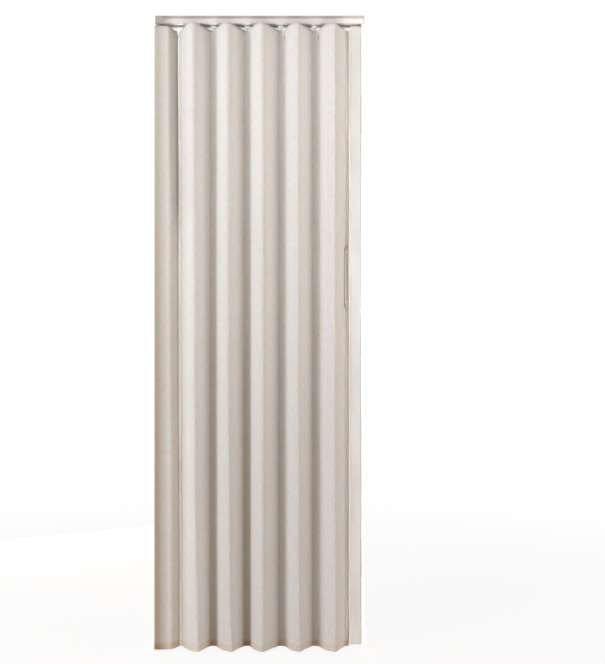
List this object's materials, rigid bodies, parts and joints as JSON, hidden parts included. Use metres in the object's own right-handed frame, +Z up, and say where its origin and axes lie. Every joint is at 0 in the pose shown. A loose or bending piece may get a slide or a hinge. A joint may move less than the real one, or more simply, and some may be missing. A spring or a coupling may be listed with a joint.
{
  "type": "accordion folding door",
  "caption": "Accordion folding door with pleated cloth sheets on a lazy-tongs frame, hung by trolleys from a head rail, with a wall channel, a lead post and a magnetic strike strip.",
  "frame": {"origin": "centre of the head rail's top face, where the door is screwed up to the lintel", "axes": "+X runs along the rail towards the closing side, -Y is the front as pictured, +Z is up; the door hangs below the origin"},
  "size_m": [0.66, 0.1366, 1.991],
  "materials": {
    "rail_coat": "satin powder coat, warm off-white",
    "cap_plastic": "fine matt moulded plastic, greige",
    "mill_aluminium": "natural anodised",
    "sheet_cloth": "fine slubbed ivory cloth with a vinyl backing",
    "plated_steel": "bright zinc plate",
    "strip_plastic": "extruded cream plastic, satin",
    "trolley_nylon": "natural white nylon",
    "wheel_nylon": "dark grey nylon",
    "post_coat": "satin powder coat, off-white",
    "handle_plastic": "fine matt moulded plastic, greige",
    "magnet_rubber": "flexible magnet strip"
  },
  "bodies": {
    "door_frame": {"head_rail": "rail_coat", "rail_end_caps": "cap_plastic", "jamb_channel": "mill_aluminium", "jamb_cover_front": "sheet_cloth", "jamb_cover_back": "sheet_cloth", "jamb_rod": "plated_steel", "jamb_brackets": "plated_steel", "jamb_strips": "strip_plastic", "strike_channel": "strip_plastic", "strike_keepers": "plated_steel"},
    "arm_a0": {"strap_a0": "plated_steel", "sheet_a0": "sheet_cloth"},
    "arm_b0": {"strap_b0": "plated_steel", "sheet_b0": "sheet_cloth"},
    "arm_a1": {"strap_a1": "plated_steel", "sheet_a1": "sheet_cloth"},
    "arm_b1": {"strap_b1": "plated_steel", "sheet_b1": "sheet_cloth"},
    "arm_a2": {"strap_a2": "plated_steel", "sheet_a2": "sheet_cloth"},
    "arm_b2": {"strap_b2": "plated_steel", "sheet_b2": "sheet_cloth"},
    "arm_a3": {"strap_a3": "plated_steel", "sheet_a3": "sheet_cloth"},
    "arm_b3": {"strap_b3": "plated_steel", "sheet_b3": "sheet_cloth"},
    "arm_a4": {"strap_a4": "plated_steel", "sheet_a4": "sheet_cloth"},
    "arm_b4": {"strap_b4": "plated_steel", "sheet_b4": "sheet_cloth"},
    "arm_a5": {"strap_a5": "plated_steel", "sheet_a5": "sheet_cloth"},
    "arm_b5": {"strap_b5": "plated_steel", "sheet_b5": "sheet_cloth"},
    "carrier_1": {"carriage_1": "trolley_nylon", "hanger_rod_1": "plated_steel", "valley_strips_1": "strip_plastic"},
    "carrier_2": {"carriage_2": "trolley_nylon", "hanger_rod_2": "plated_steel", "valley_strips_2": "strip_plastic"},
    "carrier_3": {"carriage_3": "trolley_nylon", "hanger_rod_3": "plated_steel", "valley_strips_3": "strip_plastic"},
    "carrier_4": {"carriage_4": "trolley_nylon", "hanger_rod_4": "plated_steel", "valley_strips_4": "strip_plastic"},
    "wheels_1": {"wheel_set_1": "wheel_nylon"},
    "wheels_2": {"wheel_set_2": "wheel_nylon"},
    "wheels_3": {"wheel_set_3": "wheel_nylon"},
    "wheels_4": {"wheel_set_4": "wheel_nylon"},
    "wheels_5": {"wheel_set_5": "wheel_nylon"},
    "lead_post": {"lead_post": "post_coat", "post_caps": "cap_plastic", "lead_rod": "plated_steel", "lead_strips": "strip_plastic", "lead_carriage": "trolley_nylon", "post_beads": "strip_plastic", "handle_front": "handle_plastic", "handle_back": "handle_plastic", "post_magnets": "magnet_rubber"}
  },
  "joints": [
    {"name": "fold", "type": "hinge", "parent": "door_frame", "child": "arm_a0", "pos_m": [-0.2536, 0, -1], "axis": [0, 0, -1], "range_deg": [0, 30.5]},
    {"name": "wall_back_pivot", "type": "hinge", "parent": "door_frame", "child": "arm_b0", "pos_m": [-0.2536, 0, -1], "axis": [0, 0, 1], "range_deg": [0, 30.5]},
    {"name": "ridge_pivot_1", "type": "hinge", "parent": "arm_a0", "child": "arm_b1", "pos_m": [-0.20024, -0.0596, -1], "axis": [0, 0, 1], "range_deg": [0, 61]},
    {"name": "valley_pivot_1", "type": "hinge", "parent": "arm_b1", "child": "arm_a1", "pos_m": [-0.14688, 0, -1], "axis": [0, 0, -1], "range_deg": [0, 61]},
    {"name": "carrier_pivot_1", "type": "hinge", "parent": "arm_b1", "child": "carrier_1", "pos_m": [-0.14688, 0, -1], "axis": [0, 0, -1], "range_deg": [0, 30.5]},
    {"name": "ridge_pivot_2", "type": "hinge", "parent": "arm_a1", "child": "arm_b2", "pos_m": [-0.09352, -0.0596, -1], "axis": [0, 0, 1], "range_deg": [0, 61]},
    {"name": "valley_pivot_2", "type": "hinge", "parent": "arm_b2", "child": "arm_a2", "pos_m": [-0.04016, 0, -1], "axis": [0, 0, -1], "range_deg": [0, 61]},
    {"name": "carrier_pivot_2", "type": "hinge", "parent": "arm_b2", "child": "carrier_2", "pos_m": [-0.04016, 0, -1], "axis": [0, 0, -1], "range_deg": [0, 30.5]},
    {"name": "ridge_pivot_3", "type": "hinge", "parent": "arm_a2", "child": "arm_b3", "pos_m": [0.0132, -0.0596, -1], "axis": [0, 0, 1], "range_deg": [0, 61]},
    {"name": "valley_pivot_3", "type": "hinge", "parent": "arm_b3", "child": "arm_a3", "pos_m": [0.06656, 0, -1], "axis": [0, 0, -1], "range_deg": [0, 61]},
    {"name": "carrier_pivot_3", "type": "hinge", "parent": "arm_b3", "child": "carrier_3", "pos_m": [0.06656, 0, -1], "axis": [0, 0, -1], "range_deg": [0, 30.5]},
    {"name": "ridge_pivot_4", "type": "hinge", "parent": "arm_a3", "child": "arm_b4", "pos_m": [0.11992, -0.0596, -1], "axis": [0, 0, 1], "range_deg": [0, 61]},
    {"name": "valley_pivot_4", "type": "hinge", "parent": "arm_b4", "child": "arm_a4", "pos_m": [0.17328, 0, -1], "axis": [0, 0, -1], "range_deg": [0, 61]},
    {"name": "carrier_pivot_4", "type": "hinge", "parent": "arm_b4", "child": "carrier_4", "pos_m": [0.17328, 0, -1], "axis": [0, 0, -1], "range_deg": [0, 30.5]},
    {"name": "ridge_pivot_5", "type": "hinge", "parent": "arm_a4", "child": "arm_b5", "pos_m": [0.22664, -0.0596, -1], "axis": [0, 0, 1], "range_deg": [0, 61]},
    {"name": "lead_pivot", "type": "hinge", "parent": "arm_b5", "child": "lead_post", "pos_m": [0.28, 0, -1], "axis": [0, 0, -1], "range_deg": [0, 30.5]},
    {"name": "lead_back_pivot", "type": "hinge", "parent": "lead_post", "child": "arm_a5", "pos_m": [0.28, 0, -1], "axis": [0, 0, -1], "range_deg": [0, 30.5]},
    {"name": "wheel_spin_1", "type": "hinge", "parent": "carrier_1", "child": "wheels_1", "pos_m": [-0.14688, 0, -0.0143], "axis": [0, 1, 0], "continuous": true},
    {"name": "wheel_spin_2", "type": "hinge", "parent": "carrier_2", "child": "wheels_2", "pos_m": [-0.04016, 0, -0.0143], "axis": [0, 1, 0], "continuous": true},
    {"name": "wheel_spin_3", "type": "hinge", "parent": "carrier_3", "child": "wheels_3", "pos_m": [0.06656, 0, -0.0143], "axis": [0, 1, 0], "continuous": true},
    {"name": "wheel_spin_4", "type": "hinge", "parent": "carrier_4", "child": "wheels_4", "pos_m": [0.17328, 0, -0.0143], "axis": [0, 1, 0], "continuous": true},
    {"name": "wheel_spin_5", "type": "hinge", "parent": "lead_post", "child": "wheels_5", "pos_m": [0.30285, 0, -0.0143], "axis": [0, 1, 0], "continuous": true}
  ],
  "couplings": [
    {"joint": "wall_back_pivot", "follows": "fold", "ratio": 1},
    {"joint": "ridge_pivot_1", "follows": "fold", "ratio": 2},
    {"joint": "valley_pivot_1", "follows": "fold", "ratio": 2},
    {"joint": "carrier_pivot_1", "follows": "fold", "ratio": 1},
    {"joint": "ridge_pivot_2", "follows": "fold", "ratio": 2},
    {"joint": "valley_pivot_2", "follows": "fold", "ratio": 2},
    {"joint": "carrier_pivot_2", "follows": "fold", "ratio": 1},
    {"joint": "ridge_pivot_3", "follows": "fold", "ratio": 2},
    {"joint": "valley_pivot_3", "follows": "fold", "ratio": 2},
    {"joint": "carrier_pivot_3", "follows": "fold", "ratio": 1},
    {"joint": "ridge_pivot_4", "follows": "fold", "ratio": 2},
    {"joint": "valley_pivot_4", "follows": "fold", "ratio": 2},
    {"joint": "carrier_pivot_4", "follows": "fold", "ratio": 1},
    {"joint": "ridge_pivot_5", "follows": "fold", "ratio": 2},
    {"joint": "lead_pivot", "follows": "fold", "ratio": 1},
    {"joint": "lead_back_pivot", "follows": "fold", "ratio": 1}
  ]
}
